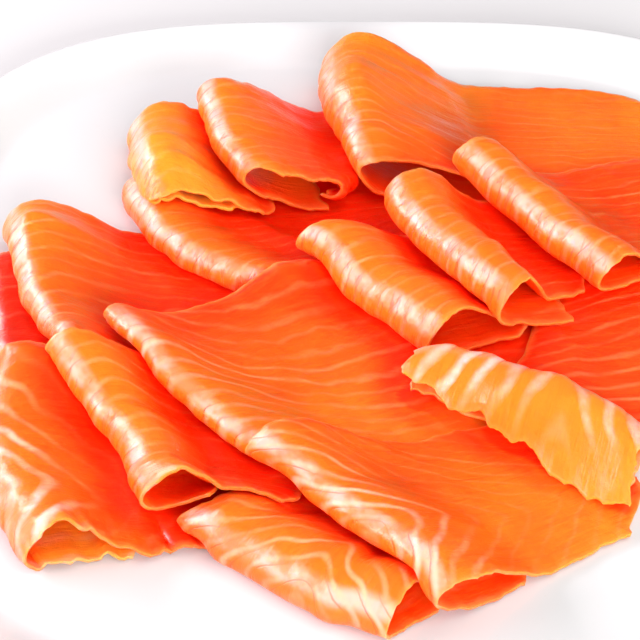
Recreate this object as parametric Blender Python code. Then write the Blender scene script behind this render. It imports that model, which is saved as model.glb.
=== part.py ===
"""Smoked salmon slices, each folded over on itself, laid one over another on a white platter.

Metres, +Z up. The origin is under the middle of the platter, on the surface it stands on.
Every slice is a thin sheet: a lower layer, a rounded fold along its left edge, and an upper
layer that leaves the fold, falls and lies on what is below it.
"""
import math

import bmesh
import bpy
import numpy as np

MM = 0.001

# the platter: a rounded rectangle with a low raised rim, standing on a ring
PLATTER_HALF_X = 176.0
PLATTER_HALF_Y = 172.0
PLATTER_ROUNDING = 3.4          # exponent of the outline: 2 is an ellipse, higher is squarer
PLATTER_SEGMENTS = 56
WELL_HEIGHT = 7.0               # top of the flat well above the table
RIM_HEIGHT = 15.0               # top of the rim above the table
RIM_RISE = RIM_HEIGHT - WELL_HEIGHT
UNDERSIDE = 2.25                # the bottom inside and outside the foot ring, above the table
WELL_SHARE = 0.86               # the flat well's share of the outline
FOOT_SHARE = 0.62               # the foot ring's middle, as a share of the outline
FOOT_HALF_WIDTH = 0.03
RIM_TOP_SHARE = 0.985           # where the rim's inner slope begins
RIM_DIP = 0.2                   # how far that is below the top of the rim
SLOPE_STEPS = 6

# the slices
SLICE_THICKNESS = 2.2
HALF_THICKNESS = SLICE_THICKNESS / 2
CLEARANCE = 0.35                # left between one piece and the next
LIP_SHARE = 0.28                # height of a fold's outermost line, as a share of the fold
LEAST_LIP = 2.0
LIP_DEPTH = 1.3                 # how far the lower quarter turn goes in, for its height
TIP_ROUNDING = 0.22             # how far a slice's far corners are rounded off
SAG_RADIUS = 22.0               # radius a slice takes where it spans from one piece to another
NOSE_LENGTH = 13.0              # length in which a pinched fold droops towards its end
ROLL_TURN = 200.0               # degrees through which a rolled far edge curls under

# the facets of a slice
STEPS_ALONG = 7
STEPS_LOWER = 3
STEPS_FOLD = 6
STEPS_UPPER = 6
STEPS_ROLL = 3
UPPER_CROWDING = 1.15           # above 1, the upper layer's facets are shorter near the fold
SHARE_LOWER_QUARTER = 0.34      # share of the fold's facets below its outermost line

# the height field that the slices are laid on
FIELD_HALF = 190.0
FINE_CELL = 0.5
COARSE_CELL = 2.0
REACH_ROUNDS = 4                # coarse cells over which a sheet bridges a step at once
REST_ROUNDS = 160               # rounds in which it then sinks until it rests
EVENING_ROUNDS = 3
LIFT_ROUNDS = 12
LIFT_SLACK = 0.01               # a sheet this close to its clearance needs no more lifting
SLICE_SAMPLING = 40             # points along a triangle's side that are put in the field
PLATTER_SAMPLING = 300

SALMON = (0.86, 0.13, 0.035, 1.0)
SALMON_ROUGHNESS = 0.35
PORCELAIN = (0.86, 0.87, 0.88, 1.0)
PORCELAIN_ROUGHNESS = 0.15

# The slices in the order they are laid. back and front are the ends of the fold's outer edge in
# millimetres, bow is how far its middle swings outwards, head is the way the sheet runs from the
# back and the front end in degrees, and every pair of sizes is for the back and the front end:
# reach of the upper layer, under for the lower one, the fold's height, its width to the crest,
# and the distance in which the upper layer settles. low_head is the way the lower layer runs
# where that differs. nose is the share of its height that a pinched fold loses at each end, stay
# the share that the upper layer keeps where it doesn't settle, and roll the radius to which its
# far edge curls under.
SLICES = [
    dict(name="slice_far_left", back=(-142, 27), front=(-131, -35), bow=2, head=(5, -5),
         reach=(66, 74), under=(45, 45), high=(7, 8), wide=(9, 10), settle=(30, 35)),
    dict(name="slice_front_left", back=(-137, -38), front=(-114, -111), bow=6, head=(16, 8),
         reach=(66, 84), under=(46, 46), high=(9, 15), wide=(12, 14), settle=(40, 22)),
    dict(name="slice_front", back=(-65, -97), front=(1, -140), bow=4, head=(30, 54),
         low_head=(30, 40),
         reach=(80, 60), under=(50, 50), high=(12, 13), wide=(13, 14), settle=(30, 18),
         nose=(0.5, 0.0)),
    dict(name="slice_left", back=(-136, 45), front=(-109, -32), bow=4, head=(4, 0),
         reach=(112, 96), under=(40, 40), high=(14, 6), wide=(13, 6), settle=(36, 26)),
    dict(name="slice_left_roll", back=(-112, -39), front=(-78, -91), bow=-5, head=(14, -2),
         low_head=(14, -4),
         reach=(62, 62), under=(46, 30), high=(8, 15), wide=(10, 13), settle=(24, 14)),
    dict(name="slice_back_left_low", back=(-95, 67), front=(-37, 10), bow=12, head=(8, 30),
         reach=(118, 96), under=(40, 40), high=(10, 6), wide=(10, 6), settle=(26, 22)),
    dict(name="slice_centre", back=(-95, -16), front=(-34, -75), bow=4, head=(28, 18),
         reach=(132, 132), under=(42, 42), high=(5, 8), wide=(4, 12), settle=(22, 30)),
    dict(name="slice_front_centre", back=(-44, -76), front=(17, -134), bow=-3, head=(17, 30),
         reach=(112, 92), under=(45, 45), high=(8, 12), wide=(9, 14), settle=(28, 26)),
    dict(name="slice_right_flat", back=(71, 24), front=(40, -51), bow=3, head=(6, -2),
         reach=(64, 92), flat=True),
    dict(name="slice_back_left", back=(-93, 102), front=(-82, 46), bow=4, head=(8, 8),
         reach=(60, 52), under=(40, 40), high=(15, 13), wide=(13, 13), settle=(32, 26),
         nose=(0.0, 0.75)),
    dict(name="slice_back_middle", back=(-67, 110), front=(-48, 58), bow=4, head=(12, 2),
         reach=(66, 40), under=(36, 36), high=(16, 13), wide=(13, 12), settle=(36, 32),
         stay=(0.0, 0.75), roll=(1.6, 4.2)),
    dict(name="slice_back_right", back=(-20, 138), front=(-5, 67), bow=4, head=(-3, 4),
         low_head=(-4, -20),
         reach=(146, 140), under=(50, 66), high=(23, 17), wide=(15, 14), settle=(44, 56),
         nose=(0.0, 0.3)),
    dict(name="slice_middle_roll", back=(-28, 26), front=(18, -19), bow=-1, head=(20, 30),
         low_head=(20, 16),
         reach=(62, 58), under=(46, 46), high=(11, 13), wide=(13, 13), settle=(28, 24)),
    dict(name="slice_right_roll", back=(4, 51), front=(42, -12), bow=3, head=(12, 38),
         low_head=(12, 20),
         reach=(60, 56), under=(38, 38), high=(13, 16), wide=(13, 13), settle=(24, 14)),
    dict(name="slice_far_right_roll", back=(30, 69), front=(80, 13), bow=0, head=(14, 22),
         reach=(100, 76), under=(34, 34), high=(14, 12), wide=(12, 11), settle=(24, 18)),
    dict(name="slice_front_right", back=(14, -25), front=(91, -58), bow=7, head=(-112, -108),
         reach=(17, 42), under=(14, 34), high=(9, 10), wide=(10, 10), settle=(24, 30)),
]


def smooth(x):
    """0 to 1 with level ends"""
    x = np.clip(x, 0, 1)
    return x * x * (3 - 2 * x)


def between(pair, share):
    return pair[0] + (pair[1] - pair[0]) * share


def grid_count(cell):
    return int(round(2 * FIELD_HALF / cell)) + 1


def blur(field):
    """each cell takes the mean of itself and its neighbours"""
    wide = np.pad(field, 1, mode="edge")
    rows = (wide[:-2] + wide[1:-1] + wide[2:]) / 3
    return (rows[:, :-2] + rows[:, 1:-1] + rows[:, 2:]) / 3


def widen(field):
    """each cell takes the highest of itself and its neighbours"""
    wide = np.pad(field, 1, mode="edge")
    rows = np.maximum(np.maximum(wide[:-2], wide[1:-1]), wide[2:])
    return np.maximum(np.maximum(rows[:, :-2], rows[:, 1:-1]), rows[:, 2:])


def coarse_of(fine):
    """the fine field at the coarse cells, as the highest within a cell"""
    step = int(round(COARSE_CELL / FINE_CELL))
    for _ in range(step // 2):
        fine = widen(fine)
    return fine[::step, ::step]


def rest_on(field):
    """the surface a soft sheet takes when it lies on the field"""
    sheet = field
    for _ in range(REACH_ROUNDS):
        sheet = widen(sheet)
    sag = COARSE_CELL ** 2 / (3 * SAG_RADIUS)
    for _ in range(REST_ROUNDS):
        sheet = np.maximum(field, blur(sheet) - sag)
    for _ in range(EVENING_ROUNDS):
        sheet = blur(sheet)
    return np.maximum(sheet, field)


def spline_weights(f):
    """how much each of four neighbours in a row counts at the share f between the middle two"""
    return ((1 - f) ** 3 / 6, (3 * f ** 3 - 6 * f ** 2 + 4) / 6,
            (-3 * f ** 3 + 3 * f ** 2 + 3 * f + 1) / 6, f ** 3 / 6)


def height_at(field, x, y):
    """a coarse field read smoothly at any place"""
    count = field.shape[0]
    gx = np.clip((x + FIELD_HALF) / COARSE_CELL, 1, count - 3.001)
    gy = np.clip((y + FIELD_HALF) / COARSE_CELL, 1, count - 3.001)
    i = gx.astype(int)
    j = gy.astype(int)
    wx = spline_weights(gx - i)
    wy = spline_weights(gy - j)
    total = np.zeros_like(x, dtype=float)
    for a in range(4):
        for b in range(4):
            total = total + wx[a] * wy[b] * field[i + a - 1, j + b - 1]
    return total


def triangle_samples(steps):
    """weights that spread points evenly over a triangle"""
    picks = []
    for a in range(steps + 1):
        for b in range(steps + 1 - a):
            picks.append((a / steps, b / steps, 1 - (a + b) / steps))
    return np.array(picks)


SAMPLES = triangle_samples(SLICE_SAMPLING)


def cells(points):
    """the fine field's cells that the points are over"""
    count = grid_count(FINE_CELL)
    i = np.clip(np.rint((points[..., 0] + FIELD_HALF) / FINE_CELL).astype(int), 0, count - 1)
    j = np.clip(np.rint((points[..., 1] + FIELD_HALF) / FINE_CELL).astype(int), 0, count - 1)
    return i, j


def heap(fine, points, triangles, samples=SAMPLES):
    """raise the field to the triangles that lie on it"""
    spots = np.einsum("sk,tkc->tsc", samples, points[triangles])
    i, j = cells(spots)
    np.maximum.at(fine, (i.ravel(), j.ravel()), spots[..., 2].ravel())


def strip_triangles(columns, first, last):
    """triangles between a sheet's columns first and last, for points numbered row by row"""
    found = []
    for i in range(STEPS_ALONG):
        for j in range(first, last):
            a = i * columns + j
            b = a + columns
            found.append((a, b, b + 1))
            found.append((a, b + 1, a + 1))
    return np.array(found, dtype=int).reshape(-1, 3)


def outward(middle):
    """unit normals of a sheet: up on the upper layer, out round the fold, down on the lower"""
    along = np.gradient(middle, axis=0)
    across = np.gradient(middle, axis=1)
    normal = np.cross(along, across)
    return normal / np.linalg.norm(normal, axis=-1, keepdims=True)


def lift(middle, side, triangles, fine):
    """raise the sheet until the given side clears the field everywhere"""
    blocked = widen(fine) + CLEARANCE
    for _ in range(LIFT_ROUNDS):
        faces = (middle + side * outward(middle) * HALF_THICKNESS).reshape(-1, 3)
        spots = np.einsum("sk,tkc->tsc", SAMPLES, faces[triangles])
        i, j = cells(spots)
        short = blocked[i, j] - spots[..., 2]
        if short.max() <= LIFT_SLACK:
            break
        share = SAMPLES / (SAMPLES ** 2).sum(axis=1, keepdims=True)
        need = np.clip(short, 0, None)[..., None] * share[None]
        rise = np.zeros(len(faces))
        np.maximum.at(rise, triangles.ravel(), need.max(axis=1).ravel())
        middle = middle.copy()
        middle[..., 2] += rise.reshape(middle.shape[:2])
    return middle


def fold_edge(sizes, share):
    """the outer edge of the fold at each share of its length"""
    back = np.array(sizes["back"], dtype=float)
    front = np.array(sizes["front"], dtype=float)
    run = front - back
    swing = np.array([-run[1], run[0]]) / np.linalg.norm(run)
    first = math.radians(sizes["head"][0])
    if swing @ np.array([math.cos(first), math.sin(first)]) > 0:
        swing = -swing
    bow = 4 * share * (1 - share) * sizes["bow"]
    return back + share[:, None] * run + bow[:, None] * swing


def direction(pair, share):
    """the way the sheet runs at each share of the fold's length"""
    turn = np.radians(between(pair, smooth(share)))
    return np.stack([np.cos(turn), np.sin(turn)], -1)


def rounded_tips(share):
    """the share of its reach that a layer keeps, so that its far corners are rounded off"""
    return 1 - TIP_ROUNDING * np.abs(2 * share - 1) ** 3


def spread(edge, way, distance):
    """plan positions at distances from the fold's edge, along the sheet"""
    return edge[:, None, :] + distance[..., None] * way[:, None, :]


def with_height(plan, height):
    return np.concatenate([plan, height[..., None]], -1)


def lay_flat(sizes, fine):
    """a slice with no fold"""
    share = np.linspace(0, 1, STEPS_ALONG + 1)
    edge = fold_edge(sizes, share)
    reach = between(sizes["reach"], share) * rounded_tips(share)
    steps = STEPS_UPPER + STEPS_LOWER
    out = reach[:, None] * np.linspace(0, 1, steps + 1)[None, :]
    plan = spread(edge, direction(sizes["head"], share), out)
    rest = rest_on(coarse_of(fine)) + HALF_THICKNESS + CLEARANCE
    middle = with_height(plan, height_at(rest, plan[..., 0], plan[..., 1]))
    return lift(middle, -1, strip_triangles(steps + 1, 0, steps), fine)


def lay_folded(sizes, fine):
    """the sheet of one folded slice, laid on the field: rows along the fold, columns across it"""
    share = np.linspace(0, 1, STEPS_ALONG + 1)
    edge = fold_edge(sizes, share)
    way = direction(sizes["head"], share)
    low_way = direction(sizes.get("low_head", sizes["head"]), share)
    length = math.dist(sizes["back"], sizes["front"])
    back_nose, front_nose = sizes.get("nose", (0.0, 0.0))
    high = between(sizes["high"], share)
    high = high * (1 - back_nose * smooth(1 - share * length / NOSE_LENGTH))
    high = high * (1 - front_nose * smooth(1 - (1 - share) * length / NOSE_LENGTH))
    high = high[:, None]
    wide = between(sizes["wide"], share)[:, None]
    settle = between(sizes["settle"], share)[:, None]
    reach = (between(sizes["reach"], share) * rounded_tips(share))[:, None]
    under = (between(sizes["under"], share) * rounded_tips(share))[:, None]
    lip = np.maximum(LIP_SHARE * high, LEAST_LIP)
    turn_in = np.minimum(LIP_DEPTH * lip + 1, wide)

    # the lower layer, from its far end in to the fold
    rest = rest_on(coarse_of(fine)) + HALF_THICKNESS + CLEARANCE
    out = turn_in + (under - turn_in) * np.linspace(1, 0, STEPS_LOWER + 1)[None, :]
    plan = spread(edge, low_way, out)
    lower = with_height(plan, height_at(rest, plan[..., 0], plan[..., 1]))
    lower_triangles = strip_triangles(STEPS_LOWER + 1, 0, STEPS_LOWER)
    lower = lift(lower, 1, lower_triangles, fine)
    own = fine.copy()
    heap(own, (lower - outward(lower) * HALF_THICKNESS).reshape(-1, 3), lower_triangles)
    own_rest = rest_on(coarse_of(own)) + HALF_THICKNESS + CLEARANCE

    # the upper layer, from the crest to its far end
    steps = np.linspace(0, 1, STEPS_UPPER + 1)[None, :] ** UPPER_CROWDING
    out = wide + (reach - wide) * steps
    plan = spread(edge, way, out)
    held = between(sizes.get("stay", (0.0, 0.0)), share)[:, None]
    fall = 1 - smooth((out - wide) / settle) * (1 - held)
    upper = with_height(plan, height_at(own_rest, plan[..., 0], plan[..., 1]) + high * fall)
    if "roll" in sizes:
        radius = between(sizes["roll"], share)[:, None]
        angle = np.radians(np.linspace(0, ROLL_TURN, STEPS_ROLL + 1)[1:])[None, :]
        plan = spread(edge, way, reach + radius * np.sin(angle))
        rolled = with_height(plan, upper[:, -1:, 2] - radius * (1 - np.cos(angle)))
        upper = np.concatenate([upper, rolled], axis=1)

    # the fold between them: a low quarter turn out to the lip, then a tall one to the crest
    turn = np.linspace(0, 1, STEPS_FOLD + 1)[1:-1][None, :]
    first = np.clip(turn / SHARE_LOWER_QUARTER, 0, 1) * math.pi / 2
    second = np.clip((turn - SHARE_LOWER_QUARTER) / (1 - SHARE_LOWER_QUARTER), 0, 1) * math.pi / 2
    below = turn < SHARE_LOWER_QUARTER
    out = np.where(below, turn_in * (1 - np.sin(first)), wide * (1 - np.cos(second)))
    rise = np.where(below, lip * (1 - np.cos(first)), lip + (high - lip) * np.sin(second))
    plan = spread(edge, way, out)
    mix = smooth(turn)
    ground = (height_at(rest, plan[..., 0], plan[..., 1]) * (1 - mix)
              + height_at(own_rest, plan[..., 0], plan[..., 1]) * mix)
    fold = with_height(plan, ground + rise)

    # the whole sheet is lifted clear: of what was laid before it, and above of its own lower layer
    middle = np.concatenate([lower, fold, upper], axis=1)
    columns = middle.shape[1]
    crest = STEPS_LOWER + STEPS_FOLD
    last = columns - 1
    middle = lift(middle, 1, strip_triangles(columns, 0, crest), fine)
    middle = lift(middle, -1, strip_triangles(columns, crest, last), own)
    if "roll" in sizes:
        middle = lift(middle, 1, strip_triangles(columns, last - STEPS_ROLL - 1, last), own)
    for side in (1, -1):
        middle = lift(middle, side, strip_triangles(columns, 0, last), fine)
    return middle


def closed_solid(middle):
    """points and triangles of the sheet given its thickness"""
    rows, columns = middle.shape[:2]
    offset = outward(middle) * HALF_THICKNESS
    points = np.concatenate([(middle + offset).reshape(-1, 3), (middle - offset).reshape(-1, 3)])
    skin = strip_triangles(columns, 0, columns - 1)
    count = rows * columns
    triangles = [skin, skin[:, ::-1] + count]
    rim = [i * columns for i in range(rows)]
    rim += [(rows - 1) * columns + j for j in range(1, columns)]
    rim += [i * columns + columns - 1 for i in range(rows - 2, -1, -1)]
    rim += [j for j in range(columns - 2, 0, -1)]
    sides = []
    for k, a in enumerate(rim):
        b = rim[(k + 1) % len(rim)]
        sides.append((a, a + count, b + count))
        sides.append((a, b + count, b))
    triangles.append(np.array(sides))
    return points, np.concatenate(triangles)


def platter_rings():
    """share of the outline and height of each ring, from under the middle round to the well"""
    foot = [(0.0, UNDERSIDE), (FOOT_SHARE - FOOT_HALF_WIDTH, UNDERSIDE),
            (FOOT_SHARE - FOOT_HALF_WIDTH / 2, 0.0), (FOOT_SHARE + FOOT_HALF_WIDTH, 0.0),
            (FOOT_SHARE + 2 * FOOT_HALF_WIDTH, UNDERSIDE)]
    outer_side = [(WELL_SHARE + 0.01, UNDERSIDE + 0.3), (0.94, UNDERSIDE + 0.45 * RIM_RISE),
                  (0.995, RIM_HEIGHT - 3.2), (1.0, RIM_HEIGHT - 1.6), (0.99, RIM_HEIGHT)]
    slope = []
    for k in range(SLOPE_STEPS - 1, -1, -1):
        share = WELL_SHARE + (RIM_TOP_SHARE - WELL_SHARE) * k / SLOPE_STEPS
        slope.append((share, WELL_HEIGHT + (RIM_RISE - RIM_DIP) * float(smooth(k / SLOPE_STEPS))))
    return foot + outer_side + slope + [(0.0, WELL_HEIGHT)]


def platter_solid():
    """points and triangles of the platter, as rings of its outline at several heights"""
    rings = platter_rings()
    points = []
    starts = []
    for share, height in rings:
        starts.append(len(points))
        if share == 0.0:
            points.append((0.0, 0.0, height))
            continue
        for k in range(PLATTER_SEGMENTS):
            angle = 2 * math.pi * k / PLATTER_SEGMENTS
            c = math.cos(angle)
            s = math.sin(angle)
            grow = (abs(c) ** PLATTER_ROUNDING + abs(s) ** PLATTER_ROUNDING) ** (-1 / PLATTER_ROUNDING)
            points.append((PLATTER_HALF_X * share * grow * c, PLATTER_HALF_Y * share * grow * s, height))
    triangles = []
    for n in range(len(rings) - 1):
        for k in range(PLATTER_SEGMENTS):
            m = (k + 1) % PLATTER_SEGMENTS
            if rings[n][0] == 0.0:
                triangles.append((starts[n], starts[n + 1] + m, starts[n + 1] + k))
            elif rings[n + 1][0] == 0.0:
                triangles.append((starts[n] + k, starts[n] + m, starts[n + 1]))
            else:
                a, b = starts[n] + k, starts[n] + m
                c, d = starts[n + 1] + k, starts[n + 1] + m
                triangles.append((a, b, d))
                triangles.append((a, d, c))
    return np.array(points), np.array(triangles)


def add_object(name, points, triangles, colour, roughness):
    """a named object in metres, with a plain material"""
    mesh = bpy.data.meshes.new(name)
    shape = bmesh.new()
    corners = [shape.verts.new(tuple(float(v) * MM for v in point)) for point in points]
    for triangle in triangles:
        shape.faces.new([corners[int(k)] for k in triangle])
    bmesh.ops.recalc_face_normals(shape, faces=shape.faces)
    shape.to_mesh(mesh)
    shape.free()
    material = bpy.data.materials.new(name + "_material")
    material.use_nodes = True
    principled = material.node_tree.nodes["Principled BSDF"]
    principled.inputs["Base Color"].default_value = colour
    principled.inputs["Roughness"].default_value = roughness
    mesh.materials.append(material)
    bpy.context.scene.collection.objects.link(bpy.data.objects.new(name, mesh))


for old in list(bpy.data.objects):
    bpy.data.objects.remove(old)

# the platter is laid first, then each slice on what is there
heights = np.zeros((grid_count(FINE_CELL),) * 2)
platter_points, platter_triangles = platter_solid()
heap(heights, platter_points, platter_triangles, triangle_samples(PLATTER_SAMPLING))
add_object("platter", platter_points, platter_triangles, PORCELAIN, PORCELAIN_ROUGHNESS)

for sizes in SLICES:
    if sizes.get("flat"):
        sheet = lay_flat(sizes, heights)
    else:
        sheet = lay_folded(sizes, heights)
    slice_points, slice_triangles = closed_solid(sheet)
    heap(heights, slice_points, slice_triangles)
    add_object(sizes["name"], slice_points, slice_triangles, SALMON, SALMON_ROUGHNESS)
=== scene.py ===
import math

import bpy
import numpy as np
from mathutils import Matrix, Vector


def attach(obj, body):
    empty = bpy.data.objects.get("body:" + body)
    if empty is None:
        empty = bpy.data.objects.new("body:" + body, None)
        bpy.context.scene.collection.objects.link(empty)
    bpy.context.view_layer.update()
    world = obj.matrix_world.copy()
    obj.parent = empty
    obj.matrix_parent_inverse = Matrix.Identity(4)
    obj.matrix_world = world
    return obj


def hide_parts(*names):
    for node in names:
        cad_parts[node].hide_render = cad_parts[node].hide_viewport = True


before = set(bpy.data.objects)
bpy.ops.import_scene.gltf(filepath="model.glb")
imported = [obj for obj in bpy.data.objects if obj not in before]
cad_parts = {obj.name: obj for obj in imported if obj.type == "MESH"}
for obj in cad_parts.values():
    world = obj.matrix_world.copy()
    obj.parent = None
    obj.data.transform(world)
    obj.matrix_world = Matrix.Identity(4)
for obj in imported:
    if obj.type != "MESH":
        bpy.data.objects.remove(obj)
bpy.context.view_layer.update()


# ---- The platter ---------------------------------------------------------------------------
# A rounded serving platter of white porcelain, pressed in one piece and glazed all over but
# for the ring it stands on. It has a flat well and a low rim that turns over into a soft lip.

MM = 0.001
PLATTER_HALF_X = 176.0
PLATTER_HALF_Y = 172.0
PLATTER_ROUNDING = 3.4
PLATTER_SEGMENTS = 160
WELL_HEIGHT = 7.0
WELL_SHARE = 0.86
RIM_HEIGHT = 15.0
RIM_SHARE = 0.983
RIM_STEPS = 24
LIP_ROUNDING = 0.2
# each ring under the platter, from its middle outwards: its share of the outline, its height
UNDERSIDE = [(0.0, 2.25), (0.55, 2.25), (0.585, 2.1), (0.592, 1.2), (0.600, 0.25), (0.606, 0.0),
             (0.640, 0.0), (0.648, 0.25), (0.660, 1.4), (0.672, 2.1), (0.70, 2.3), (0.78, 2.35),
             (0.86, 2.6)]
# the side, from the base over the lip: start, end, how far it swells between them, steps
SIDE_CURVES = [((0.86, 2.6), (0.985, 11.4), 1.0, 10), ((0.985, 11.4), (0.999, 13.4), 0.4, 5),
               ((0.999, 13.4), (0.985, 14.9), 0.55, 7)]
WELL_RINGS = (0.80, 0.6, 0.3, 0.0)


def smooth(x):
    """0 to 1 with level ends"""
    x = np.clip(x, 0, 1)
    return x * x * (3 - 2 * x)


def mesh_from(name, points, faces, material):
    """a smooth-shaded object from points in millimetres and rows of corner numbers"""
    mesh = bpy.data.meshes.new(name)
    mesh.from_pydata((np.asarray(points) * MM).tolist(), [], faces)
    mesh.validate()
    mesh.polygons.foreach_set("use_smooth", [True] * len(mesh.polygons))
    mesh.materials.append(material)
    piece = bpy.data.objects.new(name, mesh)
    bpy.context.scene.collection.objects.link(piece)
    return piece


def swelling_curve(start, end, swell, steps):
    """points of a curve from start to end that swells sideways between them"""
    start = np.array(start, dtype=float)
    end = np.array(end, dtype=float)
    run = end - start
    aside = np.array([run[1], -run[0]]) / np.linalg.norm(run)
    found = []
    for k in range(1, steps + 1):
        t = k / steps
        found.append(start + run * t + aside * swell * 4 * t * (1 - t))
    return found


def platter_rings():
    """share of the outline and height of each ring, from under the middle round to the well"""
    rings = list(UNDERSIDE)
    for (start_share, start_height), (end_share, end_height), swell, steps in SIDE_CURVES:
        start = (start_share * PLATTER_HALF_X, start_height)
        end = (end_share * PLATTER_HALF_X, end_height)
        for out, height in swelling_curve(start, end, swell, steps):
            rings.append((out / PLATTER_HALF_X, height))
    rim_rise = RIM_HEIGHT - LIP_ROUNDING - WELL_HEIGHT
    for k in range(RIM_STEPS - 1, -1, -1):
        t = k / RIM_STEPS
        rings.append((WELL_SHARE + (RIM_SHARE - WELL_SHARE) * t, WELL_HEIGHT + rim_rise * float(smooth(t))))
    rings += [(share, WELL_HEIGHT) for share in WELL_RINGS]
    return rings


def build_platter(material):
    """rings of points joined into one closed skin, with one point at each middle"""
    rings = platter_rings()
    points = []
    faces = []
    starts = []
    for share, height in rings:
        starts.append(len(points))
        if share == 0.0:
            points.append((0.0, 0.0, height))
            continue
        for k in range(PLATTER_SEGMENTS):
            turn = 2 * math.pi * k / PLATTER_SEGMENTS
            c = math.cos(turn)
            s = math.sin(turn)
            grow = (abs(c) ** PLATTER_ROUNDING + abs(s) ** PLATTER_ROUNDING) ** (-1 / PLATTER_ROUNDING)
            points.append((PLATTER_HALF_X * share * grow * c, PLATTER_HALF_Y * share * grow * s, height))
    for n in range(len(rings) - 1):
        a, b = starts[n], starts[n + 1]
        for k in range(PLATTER_SEGMENTS):
            m = (k + 1) % PLATTER_SEGMENTS
            if rings[n][0] == 0.0:
                faces.append((a, b + m, b + k))
            elif rings[n + 1][0] == 0.0:
                faces.append((a + k, a + m, b))
            else:
                faces.append((a + k, a + m, b + m, b + k))
    return mesh_from("platter_glazed", points, faces, material)


def node(tree, kind, **settings):
    """a node with its settings"""
    made = tree.nodes.new(kind)
    for name, value in settings.items():
        setattr(made, name, value)
    return made


def put(tree, socket, value):
    """join a socket to another socket, or set it to a plain value"""
    if hasattr(value, "is_output"):
        tree.links.new(value, socket)
    else:
        socket.default_value = value


def reckon(tree, operation, *values, clamp=False):
    """one Math node"""
    made = node(tree, "ShaderNodeMath", operation=operation, use_clamp=clamp)
    for socket, value in zip(made.inputs, values):
        put(tree, socket, value)
    return made.outputs[0]


def blended(tree, factor, first, second):
    """one colour Mix node"""
    made = node(tree, "ShaderNodeMix", data_type="RGBA")
    put(tree, made.inputs[0], factor)
    put(tree, made.inputs[6], first)
    put(tree, made.inputs[7], second)
    return made.outputs[2]


def stretched(tree, value, low, high, out_low=0.0, out_high=1.0):
    """one smooth Map Range node"""
    made = node(tree, "ShaderNodeMapRange", interpolation_type="SMOOTHSTEP", clamp=True)
    for socket, number in zip(made.inputs, (value, low, high, out_low, out_high)):
        put(tree, socket, number)
    return made.outputs[0]


def noise(tree, where, scale, detail, roughness):
    """one Noise node"""
    made = node(tree, "ShaderNodeTexNoise", noise_dimensions="3D")
    put(tree, made.inputs["Vector"], where)
    put(tree, made.inputs["Scale"], scale)
    put(tree, made.inputs["Detail"], detail)
    put(tree, made.inputs["Roughness"], roughness)
    return made.outputs["Fac"]


def new_material(name):
    """a material, its node tree and its Principled shader"""
    material = bpy.data.materials.new(name)
    material.use_nodes = True
    return material, material.node_tree, material.node_tree.nodes["Principled BSDF"]


def relief(tree, skin, height, strength, distance):
    """one Bump node on the shader's normal"""
    bump = node(tree, "ShaderNodeBump")
    bump.inputs["Strength"].default_value = strength
    bump.inputs["Distance"].default_value = distance
    put(tree, bump.inputs["Height"], height)
    put(tree, skin.inputs["Normal"], bump.outputs[0])


def make_cloudy_tone():
    """the group that lets two near tones drift into each other in soft clouds"""
    group = bpy.data.node_groups.new("cloudy_tone", "ShaderNodeTree")
    inputs = (("Place", "NodeSocketVector"), ("Scale", "NodeSocketFloat"), ("Detail", "NodeSocketFloat"),
              ("Roughness", "NodeSocketFloat"), ("First", "NodeSocketColor"), ("Second", "NodeSocketColor"))
    for name, kind in inputs:
        group.interface.new_socket(name=name, in_out="INPUT", socket_type=kind)
    group.interface.new_socket(name="Tone", in_out="OUTPUT", socket_type="NodeSocketColor")
    given = node(group, "NodeGroupInput").outputs
    result = node(group, "NodeGroupOutput").inputs
    cloud = noise(group, given["Place"], given["Scale"], given["Detail"], given["Roughness"])
    put(group, result["Tone"], blended(group, cloud, given["First"], given["Second"]))
    return group


cloudy_tone = make_cloudy_tone()


def clouded(tree, place, scale, detail, roughness, first, second):
    """the cloudy tone group placed in a material with its own values"""
    made = node(tree, "ShaderNodeGroup", node_tree=cloudy_tone)
    named = {"Place": place, "Scale": scale, "Detail": detail, "Roughness": roughness,
             "First": first, "Second": second}
    for name, value in named.items():
        put(tree, made.inputs[name], value)
    return made.outputs["Tone"]


GLAZE_SHADE = (0.57, 0.58, 0.59, 1)
GLAZE_LIGHT = (0.62, 0.62, 0.615, 1)
GLAZE_FLECK = (0.54, 0.52, 0.48, 1)
GLAZE_CLOUDS = 14.0
GLAZE_RIPPLES = 60.0
GLAZE_FLECKS = 900.0
FLECK_STRENGTH = 0.25


def porcelain():
    """white glaze with faint clouds, rare warm flecks and a slightly rippled gloss"""
    material, tree, skin = new_material("porcelain_glaze")
    place = node(tree, "ShaderNodeTexCoord").outputs["Object"]
    ripple = noise(tree, place, GLAZE_RIPPLES, 3.0, 0.5)
    fleck = stretched(tree, noise(tree, place, GLAZE_FLECKS, 1.0, 0.4), 0.74, 0.80)
    tone = clouded(tree, place, GLAZE_CLOUDS, 4.0, 0.55, GLAZE_SHADE, GLAZE_LIGHT)
    tone = blended(tree, reckon(tree, "MULTIPLY", fleck, FLECK_STRENGTH), tone, GLAZE_FLECK)
    put(tree, skin.inputs["Base Color"], tone)
    put(tree, skin.inputs["Roughness"], stretched(tree, ripple, 0.3, 0.7, 0.10, 0.20))
    relief(tree, skin, ripple, strength=0.12, distance=0.0006)
    return material


platter = build_platter(porcelain())
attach(platter, "root")
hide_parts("platter")


# ---- The smoked salmon slices --------------------------------------------------------------
# Each is a thin sheet cut slantwise across a cured and smoked side of salmon, soft and moist,
# with pale fat lines between its blocks of muscle. Each was folded over once and laid on the
# others, so it rests on what is below it.

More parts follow.
